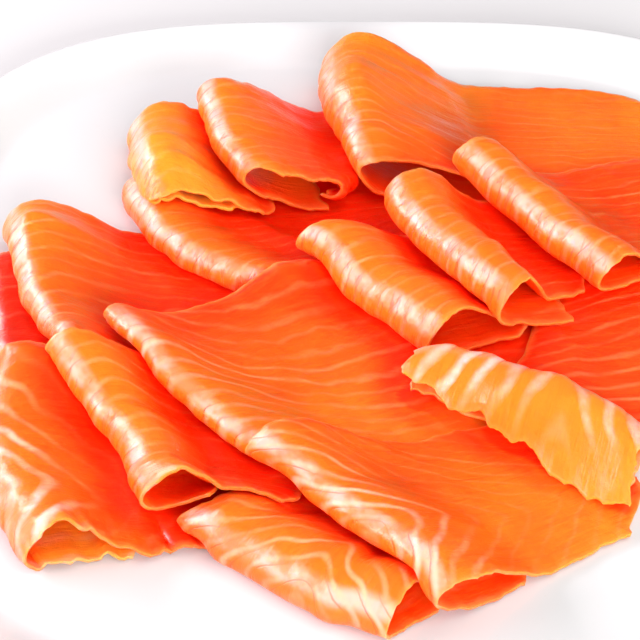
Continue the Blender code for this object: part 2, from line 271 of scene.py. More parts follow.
SLICE_THICKNESS = 2.2
EDGE_THICKNESS = 1.1
CLEARANCE = 0.45
LIP_SHARE = 0.28
LEAST_LIP = 2.0
TIP_ROUNDING = 0.22
NOSE_LENGTH = 13.0
SAG_RADIUS = 22.0
FIELD_HALF = 190.0
FIELD_CELL = 2.0
WIDEN_ROUNDS = 4
REST_ROUNDS = 160
BLUR_ROUNDS = 3
ALONG_STEP = 0.7
UPPER_STEP = 1.5
LOWER_STEP = 2.2
FOLD_STEPS = 22
ROLL_STEPS = 12
ROLL_TURN = 235
# the part of the fold's turn that its small lower curve takes
LOWER_PART = 0.34
# Places across a slice are counted from the fold's outer edge: below 0 on the lower layer, and
# on the upper layer their distance plus this.
OUTER_START = 4
# beyond this place across, the upper layer looks flat
FLAT_START = 14

# In the order of laying. Sizes are in millimetres and headings in degrees; a pair is for the
# back and the front end of the fold.
#   back, front   plan places of the ends of the fold's outer edge; bow bends the edge sideways
#   head          where the sheet runs from the fold; low_head, where its lower layer runs
#   reach, under  how far the upper and the lower layer go; flat is a sheet with no fold
#   high, wide    height and half-width of the fold; settle, where the upper layer lies down
#   nose, crumple the share of the height lost at an end; how far a cut end buckles up
#   stay, roll    the share of the height kept to the far edge; radius that the edge rolls under
#   lines, lean   spacing and slant of the fat lines; turn_at, turn_by put hairpins into them
#   warmth        below 0 a dark red painted as shade, 0 red, 1 orange, above golden; redder
#                 takes it off across the flat part, painted shade in the valley beside the
#                 fold; inside adds it on the lower layer, a painted glow in the fold's mouth
#   fat           how bold the fat lines are; fade and fade_over weaken them across the sheet
#   ragged, seed  how much the cut ends wander; the seed of everything uneven
SLICES = [
    # this slice lies in the shade of the slices laid over it; its dark red warmth is painted shade
    dict(node="slice_far_left", back=(-142, 27), front=(-131, -35), bow=2, head=(5, -5),
         reach=(66, 74), under=(45, 45), high=(7, 8), wide=(9, 10), settle=(30, 35),
         lines=7.0, lean=8, warmth=(-1.1, -1.2), fat=(0.05, 0.1), ragged=0.6, seed=1),
    dict(node="slice_front_left", back=(-137, -38), front=(-114, -111), bow=6, head=(16, 8),
         reach=(66, 84), under=(46, 46), high=(9, 15), wide=(12, 14), settle=(40, 22),
         lines=11.0, lean=4, turn_at=0.66, turn_by=1.3, warmth=(0.1, 0.8), inside=0.9,
         fat=(0.7, 1.6), fade=0.8, fade_over=26.0, ragged=0.9, crumple=(0.4, 2.6), seed=2),
    dict(node="slice_front", back=(-65, -97), front=(1, -140), bow=4, head=(30, 54),
         low_head=(30, 40),
         reach=(80, 60), under=(50, 50), high=(12, 13), wide=(13, 14), settle=(30, 18),
         lines=9.0, lean=2, turn_at=0.60, turn_by=1.15, warmth=(0.2, 0.9),
         fat=(0.7, 0.8), fade=0.3, ragged=0.8, nose=(0.5, 0.0), seed=3),
    dict(node="slice_left", back=(-136, 45), front=(-109, -32), bow=4, head=(4, 0),
         reach=(112, 96), under=(40, 40), high=(14, 6), wide=(13, 6), settle=(36, 26),
         lines=6.6, lean=-4, warmth=(1.3, 0.2), redder=0.9, fat=(0.45, 0.5), ragged=0.4, seed=4),
    dict(node="slice_left_roll", back=(-112, -39), front=(-78, -91), bow=-5, head=(14, -2),
         low_head=(14, -4),
         reach=(62, 62), under=(46, 30), high=(8, 15), wide=(10, 13), settle=(24, 14),
         lines=6.2, lean=7, warmth=(0.7, 0.8), redder=1.3, fat=(0.5, 0.6), ragged=0.6, seed=5),
    dict(node="slice_back_left_low", back=(-95, 67), front=(-37, 10), bow=12, head=(8, 30),
         reach=(118, 96), under=(40, 40), high=(10, 6), wide=(10, 6), settle=(26, 22),
         lines=6.5, lean=6, warmth=(0.9, 0.1), redder=1.2, fat=(0.3, 0.3), ragged=0.8, seed=6),
    dict(node="slice_centre", back=(-95, -16), front=(-34, -75), bow=4, head=(28, 18),
         reach=(132, 132), under=(42, 42), high=(5, 8), wide=(4, 12), settle=(22, 30),
         lines=7.4, lean=26, warmth=(0.0, 1.5), fat=(0.85, 0.95), ragged=0.25, seed=7),
    dict(node="slice_front_centre", back=(-44, -76), front=(17, -134), bow=-3, head=(17, 30),
         reach=(112, 92), under=(45, 45), high=(8, 12), wide=(9, 14), settle=(28, 26),
         lines=9.6, lean=2, turn_at=0.62, turn_by=1.15, warmth=(0.2, 0.9), redder=-0.35,
         fat=(0.85, 0.95), fade=0.6, ragged=0.5, seed=8),
    dict(node="slice_right_flat", back=(71, 24), front=(40, -51), bow=3, head=(6, -2),
         reach=(64, 92), flat=True,
         lines=8.0, lean=-14, warmth=(0.15, 0.15), fat=(0.75, 0.85), ragged=0.25, seed=9),
    dict(node="slice_back_left", back=(-93, 102), front=(-82, 46), bow=4, head=(8, 8),
         reach=(60, 52), under=(40, 40), high=(15, 13), wide=(13, 13), settle=(32, 26),
         lines=6.5, lean=3, warmth=(1.3, 1.8), redder=0.7, fat=(0.2, 0.3), ragged=0.8,
         crumple=(0.3, 2.2), nose=(0.0, 0.9), seed=10),
    dict(node="slice_back_middle", back=(-67, 110), front=(-48, 58), bow=4, head=(12, 2),
         reach=(66, 40), under=(36, 36), high=(16, 13), wide=(13, 12), settle=(36, 32),
         stay=(0.0, 0.75), roll=(1.6, 4.2),
         lines=5.2, lean=2, warmth=(1.0, 0.45), redder=0.9, inside=0.7, fat=(0.25, 0.35),
         ragged=1.0, seed=11),
    dict(node="slice_back_right", back=(-20, 138), front=(-5, 67), bow=4, head=(-3, 4),
         low_head=(-4, -20),
         reach=(146, 140), under=(50, 66), high=(23, 17), wide=(15, 14), settle=(44, 56),
         lines=5.6, lean=12, warmth=(1.0, 0.45), fat=(0.3, 0.4), ragged=0.4,
         nose=(0.0, 0.3), seed=12),
    dict(node="slice_middle_roll", back=(-28, 26), front=(18, -19), bow=-1, head=(20, 30),
         low_head=(20, 16),
         reach=(62, 58), under=(46, 46), high=(11, 13), wide=(13, 13), settle=(28, 24),
         lines=6.6, lean=5, warmth=(0.5, 0.6), redder=0.7, fat=(0.35, 0.45), ragged=0.5, seed=13),
    dict(node="slice_right_roll", back=(4, 51), front=(42, -12), bow=3, head=(12, 38),
         low_head=(12, 20),
         reach=(60, 56), under=(38, 38), high=(13, 16), wide=(13, 13), settle=(24, 14),
         lines=6.6, lean=5, warmth=(0.7, 0.6), redder=0.9, fat=(0.35, 0.45), ragged=0.5, seed=14),
    dict(node="slice_far_right_roll", back=(30, 69), front=(80, 13), bow=0, head=(14, 22),
         reach=(100, 76), under=(34, 34), high=(14, 12), wide=(12, 11), settle=(24, 18),
         lines=6.4, lean=6, warmth=(0.75, 0.6), redder=0.6, fat=(0.4, 0.5), ragged=0.5, seed=15),
    dict(node="slice_front_right", back=(14, -25), front=(91, -58), bow=7, head=(-112, -108),
         reach=(17, 42), under=(14, 34), high=(9, 10), wide=(10, 10), settle=(24, 30),
         lines=10.0, lean=8, turn_at=0.60, turn_by=-1.8, warmth=(1.3, 1.5),
         fat=(1.8, 1.6), fade=0.75, fade_over=22.0, ragged=1.0, seed=16),
]


def between(pair, share):
    """from the value at the back to the value at the front"""
    return pair[0] + (pair[1] - pair[0]) * share


def sway(values, seed, wavelength, amount):
    """a gentle seeded wander along one direction"""
    pick = np.random.default_rng(seed)
    total = np.zeros_like(np.asarray(values, dtype=float))
    for k in range(1, 5):
        phase = pick.uniform(0, 2 * math.pi)
        total += np.sin(2 * math.pi * values / wavelength * k * pick.uniform(0.8, 1.2) + phase) / k
    return total * amount / 1.6


def sway_over(x, y, seed, wavelength, amount):
    """the same over a surface"""
    pick = np.random.default_rng(seed)
    total = np.zeros(np.broadcast(x, y).shape)
    for _ in range(7):
        turn = pick.uniform(0, math.pi)
        stretch = pick.uniform(0.7, 1.9)
        phase = pick.uniform(0, 2 * math.pi)
        along = x * math.cos(turn) + y * math.sin(turn)
        total += np.sin(2 * math.pi * along / wavelength * stretch + phase) / stretch
    return total * amount / 2.6


def blur(field):
    """the mean of each place and its eight neighbours"""
    wide = np.pad(field, 1, mode="edge")
    rows = (wide[:-2] + wide[1:-1] + wide[2:]) / 3
    return (rows[:, :-2] + rows[:, 1:-1] + rows[:, 2:]) / 3


def widen(field):
    """the highest of each place and its eight neighbours"""
    wide = np.pad(field, 1, mode="edge")
    rows = np.maximum(np.maximum(wide[:-2], wide[1:-1]), wide[2:])
    return np.maximum(np.maximum(rows[:, :-2], rows[:, 1:-1]), rows[:, 2:])


def rest_on(field):
    """the surface a soft sheet takes when it lies on the field"""
    sheet = field
    for _ in range(WIDEN_ROUNDS):
        sheet = widen(sheet)
    sag = FIELD_CELL ** 2 / (3 * SAG_RADIUS)
    for _ in range(REST_ROUNDS):
        sheet = np.maximum(field, blur(sheet) - sag)
    for _ in range(BLUR_ROUNDS):
        sheet = blur(sheet)
    return np.maximum(sheet, field)


def spline_weights(f):
    """how much each of four neighbours counts in a cubic spline, f of the way past the second"""
    return ((1 - f) ** 3 / 6, (3 * f ** 3 - 6 * f ** 2 + 4) / 6,
            (-3 * f ** 3 + 3 * f ** 2 + 3 * f + 1) / 6, f ** 3 / 6)


def height_at(field, x, y):
    """a height field read smoothly at any place"""
    count = field.shape[0]
    gx = np.clip((x + FIELD_HALF) / FIELD_CELL, 1, count - 3.001)
    gy = np.clip((y + FIELD_HALF) / FIELD_CELL, 1, count - 3.001)
    i = gx.astype(int)
    j = gy.astype(int)
    wx = spline_weights(gx - i)
    wy = spline_weights(gy - j)
    total = np.zeros_like(x, dtype=float)
    for a in range(4):
        for b in range(4):
            total = total + wx[a] * wy[b] * field[i + a - 1, j + b - 1]
    return total


def heap(field, points):
    """raise the field to the points that lie on it"""
    i = np.rint((points[..., 0] + FIELD_HALF) / FIELD_CELL).astype(int).ravel()
    j = np.rint((points[..., 1] + FIELD_HALF) / FIELD_CELL).astype(int).ravel()
    np.maximum.at(field, (i, j), points[..., 2].ravel())


def outward(middle):
    """unit normals: up on the upper layer, out round the fold, down on the lower layer"""
    normal = np.cross(np.gradient(middle, axis=0), np.gradient(middle, axis=1))
    return normal / (np.linalg.norm(normal, axis=-1, keepdims=True) + 1e-9)


def fold_line(sizes, share):
    """the outer edge of the fold at each share of its length, and that length"""
    back = np.array(sizes["back"], dtype=float)
    front = np.array(sizes["front"], dtype=float)
    run = front - back
    length = np.linalg.norm(run)
    swing = np.array([-run[1], run[0]]) / length
    first = math.radians(sizes["head"][0])
    if swing @ np.array([math.cos(first), math.sin(first)]) > 0:
        swing = -swing
    bow = 4 * share * (1 - share) * sizes["bow"]
    bow = bow + sway(share * length, sizes["seed"] + 50, wavelength=46.0, amount=1.0)
    return back + share[..., None] * run + bow[..., None] * swing, length


def spread(sizes, share, heads, distance):
    """plan positions at distances from the fold's edge, along the sheet"""
    edge, _ = fold_line(sizes, share)
    turn = np.radians(between(heads, smooth(share)))
    way = np.stack([np.cos(turn), np.sin(turn)], -1)
    return edge + distance[..., None] * way


def with_height(plan, height):
    """plan positions and heights joined into points"""
    return np.concatenate([plan, height[..., None]], -1)


def near_ends(share, length, distance):
    """1 at the back end and at the front end, falling to 0 at the distance from each"""
    return smooth(1 - share * length / distance), smooth(1 - (1 - share) * length / distance)


TEAR_LENGTH = 14
BUCKLE_LENGTH = 20
BUCKLE_SIZE = 2.6


def torn_share(share, across, sizes, length):
    """rows near the two cut ends wander in and out, as a knife leaves them"""
    seed = sizes["seed"]
    amount = sizes["ragged"]
    at_back = (sway(across, seed + 10, wavelength=34.0, amount=1.5 * amount)
               + sway(across, seed + 11, wavelength=7.0, amount=0.45 * amount))
    at_front = (sway(across, seed + 20, wavelength=38.0, amount=1.7 * amount)
                + sway(across, seed + 21, wavelength=6.0, amount=0.5 * amount))
    near_back, near_front = near_ends(share, length, TEAR_LENGTH)
    return share + (at_back * near_back + at_front * near_front) / length


def crumpled(share, across, sizes, length):
    """how far the two cut ends buckle up from what is below"""
    back, front = sizes.get("crumple", (0.5, 0.6))
    ripple = across / BUCKLE_SIZE + sway(across, sizes["seed"] + 80, wavelength=30.0, amount=1.8)
    near_back, near_front = near_ends(share, length, BUCKLE_LENGTH)
    return (0.5 + 0.5 * np.sin(ripple)) * (back * near_back + front * near_front)


TURN_IN_SHARE = 1.3
LEAST_TURN_IN = 1


def fold_shape(sizes, share, length):
    """the fold at each share of its length, a little uneven as a soft sheet is: its height, its
    half-width, the height of the small curve at its foot and how far that curve turns in"""
    seed = sizes["seed"]
    place = share * length
    at_back, at_front = sizes.get("nose", (0.0, 0.0))
    near_back, near_front = near_ends(share, length, NOSE_LENGTH)
    high = between(sizes["high"], share) * (1 + sway(place, seed + 40, wavelength=50.0, amount=0.07))
    high = high * (1 - at_back * near_back)
    high = high * (1 - at_front * near_front)
    wide = between(sizes["wide"], share) * (1 + sway(place, seed + 41, wavelength=44.0, amount=0.06))
    lip = np.maximum(LIP_SHARE * high, LEAST_LIP)
    return high, wide, lip, np.minimum(TURN_IN_SHARE * lip + LEAST_TURN_IN, wide)


def lay_flat(sizes, share, length, reach, rest):
    """a slice with no fold, from its covered edge outwards"""
    steps = int(between(sizes["reach"], 0.5) / UPPER_STEP)
    out = reach * np.linspace(0, 1, steps + 1)[None, :]
    torn = torn_share(share + 0 * out, out, sizes, length)
    plan = spread(sizes, torn, sizes["head"], out)
    middle = with_height(plan, height_at(rest, plan[..., 0], plan[..., 1]))
    return middle, torn * length, out, np.zeros_like(out)


def lay_lower(sizes, share, length, turn_in, tips, rest):
    """the layer under the fold, from its far edge back to the fold"""
    steps = int(max(sizes["under"]) / LOWER_STEP)
    under = between(sizes["under"], share) * tips
    under = under + sway(share * length, sizes["seed"] + 32, wavelength=30.0, amount=2.0)
    out = turn_in + (under - turn_in) * np.linspace(1, 0, steps + 1)[None, :]
    torn = torn_share(share + 0 * out, -out, sizes, length)
    plan = spread(sizes, torn, sizes.get("low_head", sizes["head"]), out)
    buckle = crumpled(share, -out, sizes, length)
    layer = with_height(plan, height_at(rest, plan[..., 0], plan[..., 1]) + buckle)
    return layer, torn * length, -out


def lay_upper(sizes, share, length, high, wide, reach, own_rest):
    """the layer over the fold: it comes down from the fold's height and lies on what is below"""
    steps = int((max(sizes["reach"]) - min(sizes["wide"])) / UPPER_STEP)
    out = wide + (reach - wide) * np.linspace(0, 1, steps + 1)[None, :]
    torn = torn_share(share + 0 * out, out, sizes, length)
    plan = spread(sizes, torn, sizes["head"], out)
    stay = between(sizes.get("stay", (0.0, 0.0)), share)
    fall = 1 - smooth((out - wide) / between(sizes["settle"], share)) * (1 - stay)
    buckle = crumpled(share, out, sizes, length)
    layer = with_height(plan, height_at(own_rest, plan[..., 0], plan[..., 1]) + high * fall + buckle)
    return layer, torn * length, out + OUTER_START


def roll_under(sizes, share, length, reach, layer, along, across):
    """the far edge of the upper layer rolled down and back under itself"""
    radius = between(sizes["roll"], share)
    angle = np.radians(np.linspace(0, ROLL_TURN, ROLL_STEPS + 1)[1:])[None, :]
    torn = torn_share(share + 0 * angle, reach + 0 * angle, sizes, length)
    plan = spread(sizes, torn, sizes["head"], reach + radius * np.sin(angle))
    rolled = with_height(plan, layer[:, -1:, 2] - radius * (1 - np.cos(angle)))
    return (np.concatenate([layer, rolled], axis=1), np.concatenate([along, torn * length], axis=1),
            np.concatenate([across, reach + OUTER_START + radius * angle], axis=1))


def lay_fold(sizes, share, length, shape, rest, own_rest):
    """the fold: a small quarter ellipse up from the lower layer, then a large one over it"""
    high, wide, lip, turn_in = shape
    turn = np.linspace(0, 1, FOLD_STEPS + 1)[1:-1][None, :]
    first = np.clip(turn / LOWER_PART, 0, 1) * math.pi / 2
    second = np.clip((turn - LOWER_PART) / (1 - LOWER_PART), 0, 1) * math.pi / 2
    below = turn < LOWER_PART
    out = np.where(below, turn_in * (1 - np.sin(first)), wide * (1 - np.cos(second)))
    rise = np.where(below, lip * (1 - np.cos(first)), lip + (high - lip) * np.sin(second))
    mix = smooth(turn)
    torn = torn_share(share + 0 * out, between((-1.0, 1.0), mix) * out, sizes, length)
    upper_plan = spread(sizes, torn, sizes["head"], out)
    lower_plan = spread(sizes, torn, sizes.get("low_head", sizes["head"]), out)
    plan = lower_plan + (upper_plan - lower_plan) * mix[..., None]
    ground = (height_at(rest, plan[..., 0], plan[..., 1]) * (1 - mix)
              + height_at(own_rest, plan[..., 0], plan[..., 1]) * mix)
    across = np.where(below, -out, out + OUTER_START * smooth((turn - LOWER_PART) * 2))
    bend = np.sin(math.pi * np.clip(turn * 0.75, 0, 1)) + 0 * across
    return with_height(plan, ground + rise), torn * length, across, bend


UPPER_BEND = 0.7
BEND_FADE = 9


def lay(sizes, field):
    """lay one slice on the field: the middle of its sheet and, for each place on it, how far it
    is along the slice and across it, and how strongly it is bent"""
    seed = sizes["seed"]
    _, length = fold_line(sizes, np.array([0.0, 1.0]))
    share = np.linspace(0, 1, int(length / ALONG_STEP) + 1)[:, None]
    tips = 1 - TIP_ROUNDING * np.abs(2 * share - 1) ** 3
    reach = between(sizes["reach"], share) * tips
    reach = reach + sway(share * length, seed + 30, wavelength=40.0, amount=2.2)
    reach = reach + sway(share * length, seed + 31, wavelength=8.0, amount=0.5)
    rest = rest_on(field) + SLICE_THICKNESS / 2 + CLEARANCE
    if sizes.get("flat"):
        return lay_flat(sizes, share, length, reach, rest)
    shape = fold_shape(sizes, share, length)
    high, wide, _, turn_in = shape
    lower, lower_along, lower_across = lay_lower(sizes, share, length, turn_in, tips, rest)
    own = field.copy()
    heap(own, lower + np.array([0, 0, SLICE_THICKNESS / 2]))
    own_rest = rest_on(own) + SLICE_THICKNESS / 2 + CLEARANCE
    upper, upper_along, upper_across = lay_upper(sizes, share, length, high, wide, reach, own_rest)
    if "roll" in sizes:
        upper, upper_along, upper_across = roll_under(sizes, share, length, reach,
                                                      upper, upper_along, upper_across)
    upper_bend = UPPER_BEND * np.exp(-np.clip(upper_across - OUTER_START - wide, 0, None) / BEND_FADE)
    fold, fold_along, fold_across, fold_bend = lay_fold(sizes, share, length, shape, rest, own_rest)
    return (np.concatenate([lower, fold, upper], axis=1),
            np.concatenate([lower_along, fold_along, upper_along], axis=1),
            np.concatenate([lower_across, fold_across, upper_across], axis=1),
            np.concatenate([0 * lower_across, fold_bend, upper_bend], axis=1))


LEAN_REACH = 55
HAIRPIN_RADIUS = 3.0
FOLD_SLANT = 0.22
FIRST_LINE = 40


def fat_lines(sizes, along, across, length):
    """which fat line a place is at: each whole number is a groove between muscle blocks"""
    seed = sizes["seed"]
    place = along - sizes["lean"] * smooth(np.abs(across) / LEAN_REACH) * np.sign(across)
    if "turn_at" in sizes:
        middle = sizes["turn_at"] * length
        place = np.sqrt((place - middle) ** 2 + HAIRPIN_RADIUS ** 2)
        place = place + np.clip(across, 0, None) / sizes["turn_by"]
    place = place + sway_over(along, across, seed + 60, wavelength=60.0, amount=1.9)
    place = place + FOLD_SLANT * np.clip(across, -12, 18)
    place = place + sway_over(along, across, seed + 61, wavelength=19.0, amount=0.9)
    return place / sizes["lines"] + FIRST_LINE


GROOVE_COUNT = 200
GROOVE_WIDTH = 0.085
GROOVE_DEPTH = 0.26
FLANK_MIDDLE = 4.5
FLANK_WIDTH = 7.5
FLAT_SWELL = 0.02
FOLD_SWELL = 0.03
FLANK_SWELL = 0.05


def raised(phase, bend, along, across, seed):
    """muscle blocks swell between the grooves where a fold stretches them"""
    t = phase - np.floor(phase)
    each_groove = np.random.default_rng(seed + 90).uniform(0.25, 1.35, GROOVE_COUNT)
    deep = each_groove[np.rint(phase).astype(int) % GROOVE_COUNT]
    flank = np.exp(-((across - FLANK_MIDDLE) / FLANK_WIDTH) ** 2)
    block = np.sin(math.pi * t) ** 0.8
    from_groove = np.minimum(t, 1 - t)
    groove = np.exp(-(from_groove / GROOVE_WIDTH) ** 2)
    uneven = sway_over(along + 0.4 * across, 0.5 * across, seed + 91, wavelength=11.0, amount=0.16)
    return ((block - 0.6) * (FLAT_SWELL + (FOLD_SWELL + FLANK_SWELL * flank) * bend) + uneven * bend
            - groove * deep * GROOVE_DEPTH * bend * flank)


def store(mesh, name, values):
    """a number for each point of the mesh, for its material to read"""
    layer = mesh.attributes.new(name, "FLOAT", "POINT")
    layer.data.foreach_set("value", np.ascontiguousarray(values, dtype=np.float32).ravel())


def distance_to_edge(middle):
    """how far each place of the sheet is from its nearest cut edge"""
    rows, columns = middle.shape[:2]
    step_along = np.linalg.norm(np.diff(middle, axis=0), axis=2)
    step_across = np.linalg.norm(np.diff(middle, axis=1), axis=2)
    from_back = np.concatenate([np.zeros((1, columns)), np.cumsum(step_along, axis=0)])
    from_low = np.concatenate([np.zeros((rows, 1)), np.cumsum(step_across, axis=1)], axis=1)
    return np.minimum(np.minimum(from_back, from_back[-1:] - from_back),
                      np.minimum(from_low, from_low[:, -1:] - from_low))


def sheet_faces(rows, columns):
    """the outer face, the inner face and the strip round the rim of a sheet of points"""
    count = rows * columns
    grid = np.arange(count).reshape(rows, columns)
    a = grid[:-1, :-1].ravel()
    b = grid[1:, :-1].ravel()
    c = grid[1:, 1:].ravel()
    d = grid[:-1, 1:].ravel()
    outer = np.stack([a, b, c, d], 1)
    inner = np.stack([d, c, b, a], 1) + count
    rim = np.concatenate([grid[:, 0], grid[-1, 1:], grid[-2::-1, -1], grid[0, -2:0:-1]])
    following = np.roll(rim, -1)
    side = np.stack([rim, rim + count, following + count, following], 1)
    return np.concatenate([outer, inner, side])


REDDER_RANGE = 34
INSIDE_RANGE = 10


def look_values(sizes, along, across, length):
    """how warm the flesh is and how bold its fat lines are at each place of the sheet"""
    warmth = between(sizes["warmth"], along / length)
    # painted shade: redder reddens the flat part towards the valley beside the fold; a negative redder
    # lightens it
    warmth = warmth - sizes.get("redder", 0.0) * smooth((across - FLAT_START) / REDDER_RANGE)
    # painted glow: inside turns the lower layer, in the fold's mouth, towards golden
    warmth = warmth + sizes.get("inside", 0.0) * smooth(-across / INSIDE_RANGE)
    fat = between(sizes["fat"], along / length)
    fading = smooth((across - FLAT_START) / sizes.get("fade_over", 40.0))
    return warmth, fat * (1 - sizes.get("fade", 0.0) * fading)


EDGE_TAPER = 4.5
RIM_WIDTH = 3
CUT_EDGE_WIDTH = 2.6
INNER_RISE = 0.4


def close_sheet(name, sizes, middle, along, across, bend, material):
    """give the sheet its thickness, thin at the cut edges, and join the two faces round the rim"""
    # the first face has to look up on the upper layer
    if outward(middle)[:, -3, 2].mean() < 0:
        middle, along, across, bend = (values[::-1] for values in (middle, along, across, bend))
    to_edge = distance_to_edge(middle)
    thick = EDGE_THICKNESS + (SLICE_THICKNESS - EDGE_THICKNESS) * smooth(to_edge / EDGE_TAPER)
    length = float(along.max())
    phase = fat_lines(sizes, along, across, length)
    normal = outward(middle)
    rise = raised(phase, bend, along, across, sizes["seed"])
    swell = sway_over(along, across, sizes["seed"] + 70, wavelength=30.0, amount=0.22)
    from_rim = smooth(to_edge / RIM_WIDTH)
    outer = middle + normal * (thick / 2 + (rise + swell) * from_rim)[..., None]
    inner = middle - normal * (thick / 2 - INNER_RISE * rise * from_rim)[..., None]
    points = np.concatenate([outer.reshape(-1, 3), inner.reshape(-1, 3)])
    piece = mesh_from(name, points, sheet_faces(*middle.shape[:2]).tolist(), material)
    cut_edge = 1 - smooth(to_edge / CUT_EDGE_WIDTH)
    warmth, fat = look_values(sizes, along, across, length)
    for label, values in (("fat_phase", phase), ("along", along), ("across", across), ("bend", bend),
                          ("cut_edge", cut_edge), ("warmth", warmth), ("fat", fat)):
        store(piece.data, label, np.concatenate([values.ravel(), values.ravel()]))
    store(piece.data, "inner_face", np.repeat([0.0, 1.0], middle.shape[0] * middle.shape[1]))
    return piece


def empty_platter():
    """the height field of the platter's well and rim, before a slice is laid"""
    axis = np.linspace(-FIELD_HALF, FIELD_HALF, int(2 * FIELD_HALF / FIELD_CELL) + 1)
    plan_x, plan_y = np.meshgrid(axis, axis, indexing="ij")
    outline = ((np.abs(plan_x) / PLATTER_HALF_X) ** PLATTER_ROUNDING
               + (np.abs(plan_y) / PLATTER_HALF_Y) ** PLATTER_ROUNDING) ** (1 / PLATTER_ROUNDING)
    rim = smooth((outline - WELL_SHARE) / (RIM_SHARE - WELL_SHARE))
    return np.where(outline < 1, WELL_HEIGHT + (RIM_HEIGHT - WELL_HEIGHT) * rim, 0.0)


heights = empty_platter()

RED_FLESH = (0.985, 0.034, 0.002, 1)
WARM_FLESH = (0.93, 0.195, 0.010, 1)
GOLDEN_FLESH = (0.95, 0.29, 0.022, 1)
SHADE_DARK_RED = (0.52, 0.013, 0.001, 1)
HOLLOW_SHADE_RED = (0.975, 0.016, 0.001, 1)
CLOUD_RED = (0.985, 0.048, 0.003, 1)
PATCH_ORANGE = (0.98, 0.12, 0.006, 1)
FIBRE_LIGHT = (0.98, 0.13, 0.016, 1)
FIBRE_DARK = (0.95, 0.045, 0.003, 1)
FOLD_ORANGE = (0.97, 0.22, 0.014, 1)
EDGE_HIGHLIGHT_ORANGE = (0.98, 0.32, 0.07, 1)
FINE_FAT = (0.98, 0.26, 0.09, 1)
FOLD_FAT = (0.98, 0.40, 0.19, 1)
PALE_FAT = (0.98, 0.47, 0.36, 1)
WHITE_FAT = (0.98, 0.54, 0.47, 1)
HIGHLIGHT_PINK = (0.98, 0.49, 0.43, 1)
GROOVE_SHADE = (0.72, 0.070, 0.012, 1)
TICK_SHADE = (0.52, 0.085, 0.035, 1)
CLOUD_SCALE = 22.0
PATCH_SCALE = 75.0
WANDER_SCALE = 110.0
GRAIN_SCALE = 420.0
WANDER = 0.22
FIBRE_ALONG = 0.50
FIBRE_ACROSS = 0.045
TICK_SLANT = 0.35
TICK_ALONG = 0.55
TICK_ACROSS = 0.10


def times(tree, first, *others):
    """the product of two or more values"""
    for other in others:
        first = reckon(tree, "MULTIPLY", first, other)
    return first


def plus(tree, first, second):
    """one value added to another"""
    return reckon(tree, "ADD", first, second)


def minus(tree, first, second):
    """one value less another"""
    return reckon(tree, "SUBTRACT", first, second)


def joined(tree, *values):
    """one Combine XYZ node"""
    made = node(tree, "ShaderNodeCombineXYZ")
    for socket, value in zip(made.inputs, values):
        put(tree, socket, value)
    return made.outputs[0]


def tinted(tree, tone, layers):
    """colours laid over a tone one after the other, each by its own share"""
    for share, colour in layers:
        tone = blended(tree, share, tone, colour)
    return tone


def stored_numbers(tree):
    """the numbers stored on each sheet, by name"""
    names = ("fat_phase", "along", "across", "bend", "cut_edge", "warmth", "fat", "inner_face", "hollow_shade")
    return {name: node(tree, "ShaderNodeAttribute", attribute_name=name).outputs["Fac"] for name in names}


def fat_band(tree, at, line, patch):
    """a pale line of fat beside each groove: broad round a fold, fine on the flat, broken up
    along its length, and bolder in some lines than in others"""
    middle = stretched(tree, at["bend"], 0.0, 1.0, 0.22, 0.30)
    half = stretched(tree, at["bend"], 0.0, 1.0, 0.15, 0.17)
    half = times(tree, half, stretched(tree, at["fat"], 0.5, 1.4, 1.0, 1.8))
    away = reckon(tree, "ABSOLUTE", minus(tree, reckon(tree, "FRACT", line), middle))
    band = stretched(tree, reckon(tree, "DIVIDE", away, half), 1.15, 0.1)
    broken = stretched(tree, patch, 0.34, 0.62, 0.35, 1.0)
    each_line = node(tree, "ShaderNodeTexWhiteNoise", noise_dimensions="1D")
    put(tree, each_line.inputs["W"], reckon(tree, "FLOOR", line))
    boldness = stretched(tree, each_line.outputs["Value"], 0.0, 1.0, 0.40, 1.15)
    return times(tree, band, broken, boldness)


def muscle_groove(tree, line, flank, patch):
    """the groove between two muscle blocks, at each whole number, where a fold stretches them"""
    from_middle = reckon(tree, "ABSOLUTE", minus(tree, reckon(tree, "FRACT", line), 0.5))
    uneven = stretched(tree, patch, 0.40, 0.60, 0.2, 1.0)
    return times(tree, stretched(tree, from_middle, 0.43, 0.49), uneven, flank)


def shade_ticks(tree, at, flank):
    """short slanted strokes on the flank of a fold whose fat lines are fine: bumps, and painted shade in
    their creases
    """
    slant = plus(tree, at["along"], times(tree, at["across"], TICK_SLANT))
    where = joined(tree, times(tree, slant, TICK_ALONG), times(tree, at["across"], TICK_ACROSS),
                   times(tree, at["fat"], 5.0))
    strokes = stretched(tree, noise(tree, where, 1.0, 2.0, 0.5), 0.44, 0.36)
    return times(tree, strokes, flank, stretched(tree, at["fat"], 0.75, 0.45))


def highlight_strip(tree, at, patch):
    """painted highlight: pale pink dabs in a strip along the flank, where the low light's gloss falls, weaker
    where the fat lines are bold
    """
    strip = times(tree, at["bend"], stretched(tree, at["across"], 1.0, 5.0),
                  stretched(tree, at["across"], 11.5, 7.0))
    return times(tree, strip, stretched(tree, patch, 0.38, 0.60, 0.25, 1.0),
                 stretched(tree, at["fat"], 0.8, 1.2, 1.0, 0.5))


